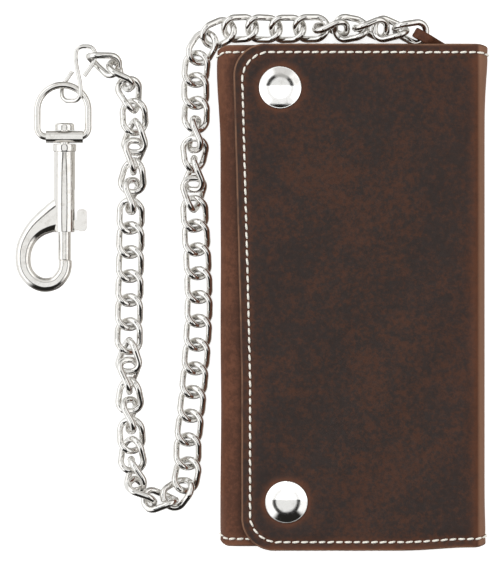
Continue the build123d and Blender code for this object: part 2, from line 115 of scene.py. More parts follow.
def area_light(name, place, target, size, radiance):
    data = bpy.data.lights.new(name, "AREA")
    data.shape = "RECTANGLE"
    data.size, data.size_y = size
    data.energy = radiance * math.pi * size[0] * size[1]
    lamp = bpy.data.objects.new(name, data)
    lamp.location = place
    aim = Vector(target) - Vector(place)
    lamp.rotation_mode = "QUATERNION"
    lamp.rotation_quaternion = aim.to_track_quat("-Z", "Y")
    lamp.visible_camera = False
    bpy.context.scene.collection.objects.link(lamp)
    return lamp


class Nodes:
    """A node tree being written, with one method for each kind of node used here."""

    def __init__(self, tree):
        self.tree = tree
        tree.nodes.clear()

    def node(self, kind, inputs=(), **settings):
        made = self.tree.nodes.new(kind)
        for key, value in settings.items():
            setattr(made, key, value)
        for key, value in dict(inputs).items():
            self.feed(made.inputs[key], value)
        return made

    def feed(self, socket, value):
        if isinstance(value, bpy.types.NodeSocket):
            self.tree.links.new(value, socket)
        else:
            socket.default_value = value

    def math(self, operation, a, b=0.0, clamp=False):
        made = self.node("ShaderNodeMath", {0: a, 1: b}, operation=operation, use_clamp=clamp)
        return made.outputs[0]

    def dot(self, a, b):
        made = self.node("ShaderNodeVectorMath", {0: a, 1: b}, operation="DOT_PRODUCT")
        return made.outputs["Value"]

    def span(self, value, low, high, to_low=0.0, to_high=1.0):
        inputs = {0: value, 1: low, 2: high, 3: to_low, 4: to_high}
        made = self.node("ShaderNodeMapRange", inputs, interpolation_type="SMOOTHSTEP", clamp=True)
        return made.outputs[0]

    def mix(self, factor, a, b):
        made = self.node("ShaderNodeMix", {0: factor, 6: a, 7: b}, data_type="RGBA")
        return made.outputs[2]

    def noise(self, place, size, detail=3.0, rough=0.5, warp=0.0):
        """Smooth noise whose features are about size millimetres across."""
        inputs = {"Vector": place, "Scale": 1 / (size * MM)}
        inputs.update({"Detail": detail, "Roughness": rough, "Distortion": warp})
        return self.node("ShaderNodeTexNoise", inputs).outputs[0]

    def cells(self, place, size):
        inputs = {"Vector": place, "Scale": 1 / (size * MM), "Randomness": 1.0}
        return self.node("ShaderNodeTexVoronoi", inputs, feature="F1").outputs[0]

    def stretch(self, place, scale):
        return self.node("ShaderNodeMapping", {"Vector": place, "Scale": scale}).outputs[0]

    def bump(self, height, depth, strength=1.0, normal=None):
        """A bump of the given depth in millimetres."""
        inputs = {"Height": height, "Distance": depth * MM, "Strength": strength}
        if normal is not None:
            inputs["Normal"] = normal
        return self.node("ShaderNodeBump", inputs).outputs[0]

    def attribute(self, name, output="Fac"):
        return self.node("ShaderNodeAttribute", attribute_name=name).outputs[output]

    def object_place(self):
        return self.node("ShaderNodeTexCoord").outputs["Object"]


def make_world():
    """What polished metal sees: four walls in three bands, a dark ring above them and a pale top."""
    world = bpy.data.worlds.new("studio")
    bpy.context.scene.world = world
    world.use_nodes = True
    n = Nodes(world.node_tree)
    ray = n.node("ShaderNodeTexCoord").outputs["Generated"]
    level = n.node("ShaderNodeVectorMath", {0: ray, 1: (1.0, 1.0, 0.0)}, operation="MULTIPLY").outputs[0]
    level = n.node("ShaderNodeVectorMath", {0: level}, operation="NORMALIZE").outputs[0]
    height = n.dot(ray, (0.0, 0.0, 1.0))
    north = n.span(n.dot(level, (0.0, 1.0, 0.0)), 0.25, 0.60)
    east = n.span(n.dot(level, (1.0, 0.1, 0.0)), 0.60, 0.82)
    west = n.span(n.dot(level, (-1.0, 0.15, 0.0)), 0.35, 0.65)

    def walls(south_tone, north_tone, east_tone, west_tone):
        colour = n.mix(north, south_tone, north_tone)
        colour = n.mix(east, colour, east_tone)
        return n.mix(west, colour, west_tone)

    pale, black = (0.90, 0.90, 0.89, 1), (0.03, 0.028, 0.026, 1)
    high = walls(
        (0.018, 0.017, 0.015, 1), (0.76, 0.75, 0.73, 1), (1.15, 1.14, 1.12, 1), (1.30, 1.30, 1.29, 1)
    )
    low = walls(
        (0.020, 0.018, 0.016, 1), (0.22, 0.215, 0.20, 1), (0.24, 0.22, 0.185, 1), (0.85, 0.85, 0.84, 1)
    )
    foot = walls((0.16, 0.15, 0.14, 1), (0.42, 0.41, 0.39, 1), (0.55, 0.53, 0.49, 1), pale)
    colour = n.mix(n.span(height, -0.55, -0.15), foot, low)
    colour = n.mix(n.span(height, 0.12, 0.36), colour, high)
    ring = walls((0.02, 0.019, 0.018, 1), (0.45, 0.445, 0.43, 1), black, black)
    colour = n.mix(n.span(height, 0.81, 0.845), colour, ring)
    colour = n.mix(n.span(height, 0.89, 0.915), colour, pale)
    background = n.node("ShaderNodeBackground", {"Color": colour, "Strength": 1.0})
    n.node("ShaderNodeOutputWorld", {"Surface": background.outputs[0]})


def make_stage():
    below = 0.00005
    bpy.ops.mesh.primitive_plane_add(size=12.0, location=(0, 0, CAD_BOX[0].z - below))
    floor = bpy.context.object
    floor.name = "floor"
    floor.visible_glossy = False
    paint = bpy.data.materials.new("floor_paint")
    paint.use_nodes = True
    n = Nodes(paint.node_tree)
    grain = n.noise(n.object_place(), 3.0)
    colour = n.mix(grain, (0.62, 0.62, 0.62, 1), (0.66, 0.66, 0.66, 1))
    glow = {"Emission Color": (1.0, 1.0, 1.0, 1), "Emission Strength": 0.70}
    finish_material(paint, n, **{"Base Color": colour, "Roughness": 0.9, "Specular IOR Level": 0.1}, **glow)
    floor.data.materials.append(paint)


def make_lights():
    """Two large soft lamps that leave the metals out, and a small card that only the caps see."""
    overhead = area_light("overhead", (-0.04, 0.0, 1.8), (-0.04, 0.0, 0.0), (0.8, 0.8), 5.6)
    softbox = area_light("softbox_left", (-1.2, 0.75, 1.15), (0.0, 0.0, 0.0), (1.1, 1.0), 3.4)
    metals = bpy.data.collections.new("metals")
    for node in [*METAL_FINISHES, "snap_body"]:
        metals.objects.link(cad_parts[node])
    for piece in SNAP_PIECES:
        metals.objects.link(piece)
    for member in metals.collection_objects:
        member.light_linking.link_state = "EXCLUDE"
    for lamp in (overhead, softbox):
        lamp.light_linking.receiver_collection = metals
    caps = bpy.data.collections.new("caps")
    caps.objects.link(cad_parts["snap_caps"])
    card = area_light("cap_card", (-0.02, 0.015, 0.17), (-0.02, 0.015, 0.0), (0.46, 0.146), 1.0)
    card.light_linking.receiver_collection = caps


# ---------------------------------------------------------------- materials
def material(name):
    made = bpy.data.materials.new(name)
    made.use_nodes = True
    return made, Nodes(made.node_tree)


def finish_material(made, n, **inputs):
    surface = n.node("ShaderNodeBsdfPrincipled", inputs)
    n.node("ShaderNodeOutputMaterial", {"Surface": surface.outputs[0]})
    return made


def leather(name, dark, warm, pulled, worn, grain_depth=0.035):
    """Waxy pull-up leather: blotches of two browns, lighter where it's bent, pierced or pinched."""
    made, n = material(name)
    place = n.attribute("rest", "Vector")
    pull = n.attribute("pull")
    wide = n.noise(place, 24.0, 5.0, 0.65, 0.6)
    fine = n.noise(place, 5.0, 5.0, 0.7)
    blotch = n.math("ADD", n.math("MULTIPLY", wide, 0.55), n.math("MULTIPLY", fine, 0.45))
    mottle = n.noise(place, 1.5, 4.0, 0.75)
    blotch = n.math("ADD", blotch, n.span(mottle, 0.32, 0.68, -0.12, 0.12))
    colour = n.mix(n.span(blotch, 0.38, 0.70), dark, warm)
    lift = n.math("MULTIPLY", pull, n.span(fine, 0.30, 0.62, 0.55, 1.0))
    colour = n.mix(lift, colour, pulled)
    colour = n.mix(n.span(pull, 0.80, 1.0, 0.0, 0.75), colour, worn)
    specks = n.noise(place, 0.55, 3.0, 0.7)
    colour = n.mix(n.span(specks, 0.55, 0.75, 0.0, 0.30), colour, warm)
    # Darkens the needle holes, and also paints shadow where another part shades the leather (the flap under
    # the cover's edge).
    colour = n.mix(n.attribute("hole_and_shade"), colour, (0.012, 0.006, 0.004, 1))
    pores = n.cells(place, 0.42)
    creases = n.noise(place, 1.3, 6.0, 0.65)
    height = n.math("ADD", n.math("MULTIPLY", pores, 0.6), n.math("MULTIPLY", creases, 1.1))
    normal = n.bump(height, grain_depth, 0.8)
    rough = n.math("ADD", n.span(creases, 0.3, 0.7, 0.50, 0.62), n.math("MULTIPLY", fine, 0.10))
    return finish_material(
        made, n, **{
            "Base Color": colour,
            "Roughness": rough,
            "Normal": normal,
            "Specular IOR Level": 0.16,
        }
    )


def raw_edge(name):
    """The cut edge of the hide: tan fibres in layers, darkened by wax in places."""
    made, n = material(name)
    place = n.attribute("rest", "Vector")
    layers = n.noise(n.stretch(place, (1.0, 1.0, 5.0)), 1.6, 5.0, 0.65)
    wax_and_shade = n.noise(place, 9.0, 3.0, 0.6)
    colour = n.mix(layers, (0.085, 0.040, 0.022, 1), (0.20, 0.105, 0.062, 1))
    colour = n.mix(n.span(wax_and_shade, 0.45, 0.7, 0.0, 0.7), colour, (0.050, 0.026, 0.018, 1))
    normal = n.bump(layers, 0.06, 0.8)
    return finish_material(
        made, n, **{"Base Color": colour, "Roughness": 0.7, "Normal": normal, "Specular IOR Level": 0.2}
    )


def flesh_side(name):
    """The fluffy underside of the leather."""
    made, n = material(name)
    place = n.attribute("rest", "Vector")
    nap = n.noise(place, 0.7, 6.0, 0.7)
    wide = n.noise(place, 14.0, 3.0)
    colour = n.mix(nap, (0.070, 0.036, 0.022, 1), (0.14, 0.075, 0.046, 1))
    colour = n.mix(n.math("MULTIPLY", wide, 0.4), colour, (0.06, 0.032, 0.022, 1))
    return finish_material(
        made, n, **{
            "Base Color": colour,
            "Roughness": 0.85,
            "Normal": n.bump(nap, 0.08),
            "Specular IOR Level": 0.15,
            "Sheen Weight": 0.2,
        }
    )


def thread(name):
    """Waxed cream thread of three plies."""
    made, n = material(name)
    place = n.attribute("rest", "Vector")
    along = n.dot(place, (0.80, 0.60, 0.0))
    plies = n.math("SINE", n.math("MULTIPLY", along, 2 * math.pi / (0.55 * MM)))
    fuzz = n.noise(place, 0.25, 4.0, 0.6)
    tone = n.math("ADD", n.math("MULTIPLY", plies, 0.18), n.math("MULTIPLY", fuzz, 0.8), clamp=True)
    colour = n.mix(tone, (0.66, 0.62, 0.54, 1), (0.92, 0.90, 0.84, 1))
    height = n.math("ADD", plies, fuzz)
    return finish_material(
        made, n, **{
            "Base Color": colour,
            "Roughness": 0.72,
            "Normal": n.bump(height, 0.05),
            "Specular IOR Level": 0.3,
            "Sheen Weight": 0.25,
        }
    )


def metal(name, bright, worn, roughness, scratch=0.5):
    """Plated metal with fine polishing marks, faint smears and a slightly uneven surface."""
    made, n = material(name)
    place = n.object_place()
    smear = n.noise(place, 2.4, 4.0, 0.6, 0.4)
    marks = n.noise(n.stretch(place, (1.0, 6.0, 1.0)), 0.16, 3.0, 0.7)
    colour = n.mix(n.span(smear, 0.45, 0.75), bright, worn)
    low, high = roughness
    rough = n.math("ADD", n.span(smear, 0.35, 0.75, low, high), n.math("MULTIPLY", marks, 0.03))
    dents = n.bump(n.noise(place, 3.5, 2.0), 0.05, 0.35)
    normal = n.bump(marks, 0.004, scratch, dents)
    return finish_material(
        made, n, **{"Base Color": colour, "Metallic": 1.0, "Roughness": rough, "Normal": normal}
    )


def woven_tape(name):
    """Dark zip tape: a fine herringbone of ribs along it."""
    made, n = material(name)
    place = n.attribute("rest", "Vector")
    across = n.dot(place, (1.0, 0.0, 0.0))
    along = n.dot(place, (0.0, 1.0, 0.0))
    ribs = n.math("SINE", n.math("MULTIPLY", across, 2 * math.pi / (0.9 * MM)))
    slant = n.math("ADD", along, n.math("MULTIPLY", n.math("ABSOLUTE", ribs), 0.5 * MM))
    picks = n.math("SINE", n.math("MULTIPLY", slant, 2 * math.pi / (0.5 * MM)))
    weave = n.math("ADD", n.math("MULTIPLY", ribs, 0.5), n.math("MULTIPLY", picks, 0.5))
    fuzz = n.noise(place, 0.4, 3.0)
    colour = n.mix(n.span(weave, -0.8, 0.8), (0.020, 0.014, 0.011, 1), (0.060, 0.042, 0.032, 1))
    colour = n.mix(n.math("MULTIPLY", fuzz, 0.3), colour, (0.09, 0.065, 0.05, 1))
    return finish_material(
        made, n, **{
            "Base Color": colour,
            "Roughness": 0.82,
            "Normal": n.bump(weave, 0.06),
            "Specular IOR Level": 0.2,
            "Sheen Weight": 0.3,
        }
    )


WORN = (0.25, 0.135, 0.086, 1)
DARK_LEATHER = leather(
    "dark_leather", (0.0195, 0.0125, 0.0105, 1), (0.050, 0.0195, 0.0105, 1), (0.100, 0.034, 0.015, 1), WORN
)
FOLD_LEATHER = leather(
    "fold_leather", (0.062, 0.0225, 0.0115, 1), (0.108, 0.040, 0.0200, 1), (0.150, 0.061, 0.033, 1), WORN
)
INNER_LEATHER = leather(
    "inner_leather", (0.045, 0.023, 0.015, 1), (0.080, 0.036, 0.021, 1), (0.14, 0.065, 0.036, 1), WORN, 0.02
)
RAW_EDGE = raw_edge("raw_edge")
FLESH = flesh_side("flesh_side")
THREAD = thread("cream_thread")
CHAIN_NICKEL = metal("chain_nickel", (0.90, 0.89, 0.87, 1), (0.76, 0.74, 0.71, 1), (0.04, 0.13))
CLIP_NICKEL = metal("clip_nickel", (0.92, 0.905, 0.88, 1), (0.80, 0.775, 0.74, 1), (0.05, 0.15))
SNAP_NICKEL = metal("snap_nickel", (0.88, 0.875, 0.86, 1), (0.78, 0.77, 0.75, 1), (0.05, 0.14), 0.3)
ZIP_METAL = metal("zip_nickel", (0.62, 0.58, 0.50, 1), (0.36, 0.32, 0.26, 1), (0.22, 0.38))
SPRING_STEEL = metal("spring_steel", (0.52, 0.52, 0.53, 1), (0.34, 0.33, 0.33, 1), (0.2, 0.34))
TAPE = woven_tape("zip_tape_weave")


# ---------------------------------------------------------------- mesh helpers
def smooth(t):
    t = np.clip(t, 0.0, 1.0)
    return t * t * (3 - 2 * t)


def squared(wave, power):
    """A sine wave made squarer by a power below 1."""
    return np.sign(wave) * np.abs(wave) ** power


def tube_faces(rings, sides, start=0):
    """Faces of a closed tube: its wall ring by ring, then its two ends."""
    faces = []
    for k in range(rings - 1):
        e = start + k * sides
        for a in range(sides):
            b = (a + 1) % sides
            faces.append((e + a, e + b, e + sides + b, e + sides + a))
    last = start + (rings - 1) * sides
    faces.append(tuple(start + a for a in reversed(range(sides))))
    faces.append(tuple(last + a for a in range(sides)))
    return faces


def band_quads(upper, lower):
    """The quads between two closed rings of points."""
    return np.stack([upper, lower, np.roll(lower, -1), np.roll(upper, -1)], axis=-1)


def make_piece(name, points, faces, materials, face_materials=None, rest=None, pull=None, hole_and_shade=None):
    """A mesh object from points in millimetres, with the attributes that its materials read."""
    mesh = bpy.data.meshes.new(name)
    mesh.from_pydata((np.asarray(points) * MM).tolist(), [], faces)
    for m in materials:
        mesh.materials.append(m)
    if face_materials is not None:
        mesh.polygons.foreach_set("material_index", np.asarray(face_materials, np.int32))
    mesh.polygons.foreach_set("use_smooth", np.ones(len(mesh.polygons), bool))
    rest = points if rest is None else rest
    attribute = mesh.attributes.new("rest", "FLOAT_VECTOR", "POINT")
    attribute.data.foreach_set("vector", (np.asarray(rest) * MM).astype(np.float32).ravel())
    for key, values in (("pull", pull), ("hole_and_shade", hole_and_shade)):
        if values is not None:
            attribute = mesh.attributes.new(key, "FLOAT", "POINT")
            attribute.data.foreach_set("value", np.asarray(values, np.float32))
    mesh.update()
    piece = bpy.data.objects.new(name, mesh)
    bpy.context.scene.collection.objects.link(piece)
    return piece


def grid_normals(grid):
    normal = np.cross(np.gradient(grid, axis=1), np.gradient(grid, axis=0))
    return normal / np.linalg.norm(normal, axis=2, keepdims=True)


def edge_profile(thickness, radius, steps=3):
    """How far out and how deep each ring of a rounded edge lies, from one face to the other."""
    turns = [math.pi / 2 * k / steps for k in range(1, steps + 1)]
    upper = [(radius * math.sin(a), radius * (1 - math.cos(a))) for a in turns]
    lower = [(out, thickness - depth) for out, depth in reversed(upper)]
    return upper + lower


def leather_shell(name, grid, thickness, radius, materials, joined=(), marks=None):
    """Leather of even thickness under a grid of surface points, with rounded cut edges.
    Sides named in joined are not cut edges: they meet another piece and stay square."""
    rows, columns = grid.shape[:2]
    normals = grid_normals(grid)
    index = np.arange(rows * columns).reshape(rows, columns)
    sides = {
        "south": index[0, :],
        "east": index[:, -1],
        "north": index[-1, ::-1],
        "west": index[::-1, 0],
    }
    loop = np.concatenate([side[:-1] for side in sides.values()])
    flat = grid.reshape(-1, 3)
    flat_normals = normals.reshape(-1, 3)
    still = set()
    kept_ends = {}
    for side in joined:
        still.update(sides[side].tolist())
        kept_ends[sides[side][0]] = "before"
        kept_ends[sides[side][-1]] = "after"
    edge = flat[loop]
    edge_normals = flat_normals[loop]
    ahead = np.roll(edge, -1, axis=0) - edge
    behind = edge - np.roll(edge, 1, axis=0)
    along = ahead + behind
    for k, vertex in enumerate(loop):
        if vertex in kept_ends:
            along[k] = behind[k] if kept_ends[vertex] == "before" else ahead[k]
    outward = np.cross(along, edge_normals)
    outward /= np.linalg.norm(outward, axis=1, keepdims=True)
    for k, vertex in enumerate(loop):
        if vertex in still and vertex not in kept_ends:
            outward[k] = 0
    points = [flat, flat - flat_normals * thickness]
    for out, depth in edge_profile(thickness, radius):
        points.append(edge + outward * out - edge_normals * depth)
    count = rows * columns
    first = 2 * count
    rings = [loop] + [first + k * len(loop) + np.arange(len(loop)) for k in range(len(points) - 2)]
    rings.append(loop + count)
    faces = []
    kinds = []
    a, b, c, d = index[:-1, :-1], index[:-1, 1:], index[1:, 1:], index[1:, :-1]
    top = np.stack([a, b, c, d], axis=-1).reshape(-1, 4)
    faces.extend(top.tolist())
    faces.extend((top[:, ::-1] + count).tolist())
    kinds += [0] * len(top) + [1] * len(top)
    for upper, lower in zip(rings, rings[1:]):
        faces.extend(band_quads(upper, lower).tolist())
        kinds += [2] * len(loop)
    points = np.concatenate(points)
    pull, hole_and_shade = marks(points) if marks else (np.zeros(len(points)), np.zeros(len(points)))
    return make_piece(name, points, faces, materials, kinds, pull=pull, hole_and_shade=hole_and_shade)


def spaced(start, stop, fine, coarse, margin):
    """Positions from start to stop, close together within a margin of both ends."""
    inner = np.arange(start + margin, stop - margin, coarse)
    head = np.arange(start, start + margin, fine)
    tail = np.arange(stop - margin, stop, fine)
    return np.concatenate([head, inner, tail, [stop]])


def ripple(x, y, size, count=9):
    """A smooth random height field between about -1 and 1."""
    total = np.zeros(np.broadcast(x, y).shape)
    for turn, stretch, phase in zip(WAVE_TURNS[:count], WAVE_SIZES[:count], WAVE_PHASES[:count]):
        along = x * np.cos(turn) + y * np.sin(turn)
        total = total + np.sin(2 * np.pi * along / (size * stretch) + phase)
    return total / math.sqrt(count)


WAVE_TURNS = RNG.uniform(0, np.pi, 16)
WAVE_SIZES = RNG.uniform(0.6, 1.7, 16)
WAVE_PHASES = RNG.uniform(0, 2 * np.pi, 16)


# ---------------------------------------------------------------- stitching
STITCH_PITCH = 3.06
STITCH_LENGTH = 2.45
THREAD_WIDTH = 0.78


def seam_stations(path, normals, pitch=STITCH_PITCH):
    """Even steps along a seam: middles, directions, surface normals and the holes between them."""
    steps = np.linalg.norm(np.diff(path, axis=0), axis=1)
    reach = np.concatenate([[0], np.cumsum(steps)])
    count = max(1, round(reach[-1] / pitch))
    actual = reach[-1] / count

    def at(distance, values):
        return np.stack([np.interp(distance, reach, values[:, k]) for k in range(3)], axis=-1)

    holes = np.arange(count + 1) * actual
    middles = (np.arange(count) + 0.5) * actual
    heading = at(middles + 0.4, path) - at(middles - 0.4, path)
    heading /= np.linalg.norm(heading, axis=1, keepdims=True)
    upward = at(middles, normals)
    upward /= np.linalg.norm(upward, axis=1, keepdims=True)
    return at(middles, path), heading, upward, at(holes, path)


def stitch_row(stations):
    """Short fat stitches of thread that dive into their holes at both ends."""
    middles, heading, upward, _ = stations
    stops = np.linspace(-1, 1, 9)
    sides = 8
    around = np.arange(sides) * 2 * np.pi / sides
    points, faces, rest = [], [], []
    for number, (middle, ahead, up) in enumerate(zip(middles, heading, upward)):
        across = np.cross(up, ahead)
        slant = RNG.normal(0.10, 0.05)
        length = STITCH_LENGTH * RNG.uniform(0.95, 1.04)
        lift = RNG.uniform(-0.03, 0.04)
        start = len(points)
        for t in stops:
            girth = THREAD_WIDTH / 2 * (1 - 0.45 * abs(t) ** 3)
            rise = 0.20 + lift - 0.52 * abs(t) ** 3.2
            centre = middle + ahead * (t * length / 2) + across * (slant * t) + up * rise
            for a in around:
                points.append(centre + across * (girth * math.cos(a)) + up * (0.72 * girth * math.sin(a)))
                rest.append((number * 11.0 + t * length / 2, girth * a, 0.0))
        faces += tube_faces(len(stops), sides, start)
    return np.array(points), faces, np.array(rest)


def stitch_piece(name, seams):
    points, faces, rest = [], [], []
    total = 0
    for stations in seams:
        p, f, r = stitch_row(stations)
        points.append(p)
        rest.append(r)
        faces.extend(tuple(v + total for v in face) for face in f)
        total += len(p)
    return make_piece(name, np.concatenate(points), faces, [THREAD], rest=np.concatenate(rest))


def sew_layer(node, skin, body, seams):
    """Sews an inner layer and sets it in place of its node."""
    stitches = stitch_piece(node + "_stitches", seams)
    for piece in (skin, stitches):
        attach(piece, body)
    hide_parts(node)


def seam_dimples(grid, seams, depth=0.30):
    """Presses a surface in round each needle hole and a little along each seam."""
    normals = grid_normals(grid)
    holes = np.concatenate([s[3] for s in seams])
    flat = grid.reshape(-1, 3)
    near = nearest(flat, holes)
    line = nearest(flat, np.concatenate([s[0] for s in seams]))
    push = depth * np.exp(-((near / 0.55) ** 2)) + 0.12 * np.exp(-((np.minimum(near, line) / 1.5) ** 2))
    return grid - normals * push.reshape(grid.shape[:2])[..., None]


def nearest(points, targets):
    """Distance from each point to the nearest target, worked out in blocks to spare memory."""
    size = 4000
    found = np.empty(len(points))
    for start in range(0, len(points), size):
        block = points[start:start + size]
        gap = np.linalg.norm(block[:, None, :] - targets[None, :, :], axis=2)
        found[start:start + size] = gap.min(axis=1)
    return found


def seam_marks(seams, extra=None, wax_and_shade=None):
    """Where the leather is lighter (the first mark), and where a needle hole darkens it or painted shade is
    laid on (the second).
    """
    holes = np.concatenate([s[3] for s in seams])

    def marks(points):
        gap = nearest(points, holes)
        pull = 0.75 * np.exp(-((gap / 1.35) ** 2))
        if extra is not None:
            pull = np.maximum(pull, extra(points))
        hole_and_shade = 0.85 * np.exp(-((gap / 0.42) ** 2))
        # The optional extra darkening here is painted shadow, where another part shades the leather.
        if wax_and_shade is not None:
            hole_and_shade = np.maximum(hole_and_shade, wax_and_shade(points))
        return np.clip(pull, 0, 1), hole_and_shade

    return marks


# ---------------------------------------------------------------- outer leather
EDGE_ROUND = 0.55
COVER_CORNER = 11.0
BEND_RUN = BEND * math.pi / 2
COVER_END = BEND_X + BEND_RUN + (TOP_Z - BEND - SEAM_Z)


def end_flare(y):
    """The spine stands out a little at its top end, where the stitching holds it."""
    return 1.1 * np.exp(-(((86.0 - y) / 13.0) ** 2)) + 0.35 * np.exp(-(((-87.0 - y) / 10.0) ** 2))


def corner_reach(y, half, radius):
    """How far sideways a round corner reaches from its centre, at a place up the side."""
    over = np.clip(np.abs(y) - (half - radius), 0, radius)
    return np.sqrt(radius**2 - over**2)


def rounded_rows(half, radius, steps, pitch):
    """Row positions as shares of the half length, close together at the round corners."""
    straight = half - radius
    arc = straight + radius * np.sin(np.linspace(0, math.pi / 2, steps))[:-1]
    arc = np.concatenate([arc, [half - 0.02]])
    middle = np.arange(-straight + pitch, straight, pitch)
    return np.concatenate([-arc[::-1], middle, arc]) / half


def cover_left(y):
    """The cover's left cut edge: it leans out towards the top, with two round corners."""
    lean = np.clip((y + 30.0) / 119.0, 0, 1) ** 1.1
    side = COVER_LOW[0] + 3.1 * (1 - lean)
    return side + COVER_CORNER - corner_reach(y, COVER_HALF, COVER_CORNER)


def cap_distance(x, y):
    return np.minimum.reduce([np.hypot(x - cx, y - cy) for cx, cy in CAPS])


def cover_half(c):
    """Half the cover's length at a place across it: it narrows as it turns into the spine."""
    return COVER_HALF - 0.6 * smooth((c - 15.0) / 27.0) - 1.0 * smooth((c - BEND_X) / BEND_RUN)


def cover_surface(c, y):
    """The outer face of cover and upper spine: c runs across the cover, then down the spine."""
    turn = np.clip((c - BEND_X) / BEND, 0, math.pi / 2)
    down = np.clip(c - BEND_X - BEND_RUN, 0, None)
    x = np.minimum(c, BEND_X) + BEND * np.sin(turn)
    z = TOP_Z - BEND * (1 - np.cos(turn)) - down
    half = cover_half(c)
    inside = np.minimum(smooth((c - cover_left(y) - 2.5) / 5.0), smooth((half - np.abs(y) - 2.5) / 5.0))
    flat = 1 - smooth((c - BEND_X + 4.0) / 6.0)
    free = smooth((cap_distance(x, y) - 8.5) / 7.0)
    swell = inside * flat * free * (0.28 + 0.22 * ripple(x, y, 46.0))
    wave = flat * (1 - inside) * 0.10 * ripple(x, y, 21.0)
    x = x + end_flare(y) * smooth((c - BEND_X + 8.0) / 12.0)
    shift = -0.55 * (1 - smooth((c - 20.0) / 20.0))
    return np.stack([x + 0 * y, y + shift, z + swell + wave], axis=-1)


def make_cover_skin():
    inset = EDGE_ROUND
    shares = spaced(0.0, 1.0, 0.0055, 0.014, 0.085)
    bend = BEND_X + np.linspace(0, BEND_RUN, 12)
    spine = np.linspace(BEND_X + BEND_RUN, COVER_END, 8)[1:]
    grid = []
    for row in rounded_rows(COVER_HALF, COVER_CORNER, 26, 0.9):
        y_here = row * (COVER_HALF - inset)
        left = cover_left(row * COVER_HALF) + inset
        flat = left + shares[:-1] * (BEND_X - left)
        c = np.concatenate([flat, bend, spine])
        y = y_here * (cover_half(c) - inset) / (COVER_HALF - inset)
        grid.append(cover_surface(c, y))
    seams = [seam_stations(*cover_seam())]
    grid = seam_dimples(np.array(grid), seams)

    def pulled(points):
        x, y, z = points.T
        rim = np.maximum(
            0.85 * np.exp(-(((cover_half(x) - np.abs(y)) / 1.3) ** 2)),
            0.25 * np.exp(-(((x - cover_left(y)) / 0.9) ** 2)),
        )
        ring = 0.8 * np.exp(-(((cap_distance(x, y) - 7.6) / 1.6) ** 2)) * (z > 19.0)
        spine_pull = 0.95 * smooth((x - 39.5) / 6.0) + 0.05 * smooth((x - 28.0) / 12.0)
        return np.maximum.reduce([rim, ring, spine_pull])

    skin = leather_shell(
        "cover_skin", grid, LEATHER, EDGE_ROUND, [DARK_LEATHER, FLESH, RAW_EDGE], ["east"],
        seam_marks(seams, pulled),
    )
    stitches = stitch_piece("cover_stitches", seams)
    for piece in (skin, stitches):
        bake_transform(piece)
    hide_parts("cover_leather", "spine_upper_bend")


SEAM_INSET = 3.05
SEAM_CORNER = 9.7


def surface_path(surface, c, y):
    """Points on a surface and its normals there."""
    step = 0.05
    here = surface(c, y)
    across = surface(c + step, y) - surface(c - step, y)
    along = surface(c, y + step) - surface(c, y - step)
    normal = np.cross(across, along)
    return here, normal / np.linalg.norm(normal, axis=1, keepdims=True)


def cover_seam():
    """The seam round the cover's three cut sides, running on down the spine at both ends."""
    radius = SEAM_CORNER
    reach = SEAM_CORNER + SEAM_INSET
    turns = np.linspace(math.pi / 2, math.pi, 24)
    top_c = np.linspace(COVER_END, cover_left(0) + reach, 160)
    corner_y = COVER_HALF - reach
    upper_x = cover_left(corner_y) + reach
    lower_x = cover_left(-corner_y) + reach
    top = [(c, cover_half(c) - SEAM_INSET) for c in top_c if c > upper_x]
    upper = [(upper_x + radius * math.cos(a), corner_y + radius * math.sin(a)) for a in turns]
    side_y = np.linspace(corner_y, -corner_y, 120)[1:-1]
    side = [(cover_left(y) + SEAM_INSET, y) for y in side_y]
    lower = [(lower_x + radius * math.cos(a), -corner_y - radius * math.sin(a)) for a in turns[::-1]]
    bottom = [(c, SEAM_INSET - cover_half(c)) for c in top_c[::-1] if c > lower_x]
    route = np.array(top + upper + side + lower + bottom)
    return surface_path(cover_surface, route[:, 0], route[:, 1])


def back_surface(c, y):
    """The outer face of lower spine and back: c runs down the spine, round and along the back."""
    down = np.clip(c, None, SEAM_Z - BEND)
    turn = np.clip((c - (SEAM_Z - BEND)) / BEND, 0, math.pi / 2)
    along = np.clip(c - (SEAM_Z - BEND) - BEND_RUN, 0, None)
    x = SPINE_X - BEND * (1 - np.cos(turn)) - along
    z = SEAM_Z - down - BEND * np.sin(turn)
    x = x + end_flare(y) * (1 - smooth(along / 10.0))
    return np.stack([x + 0 * y, y + 0 * x, z + 0 * y], axis=-1)


BACK_RUN = SEAM_Z - BEND + BEND_RUN
BACK_END = BACK_RUN + BEND_X - FOLD_X


def back_half(c):
    return cover_half(COVER_END) + (BACK_HALF - cover_half(COVER_END)) * smooth(c / BACK_RUN)


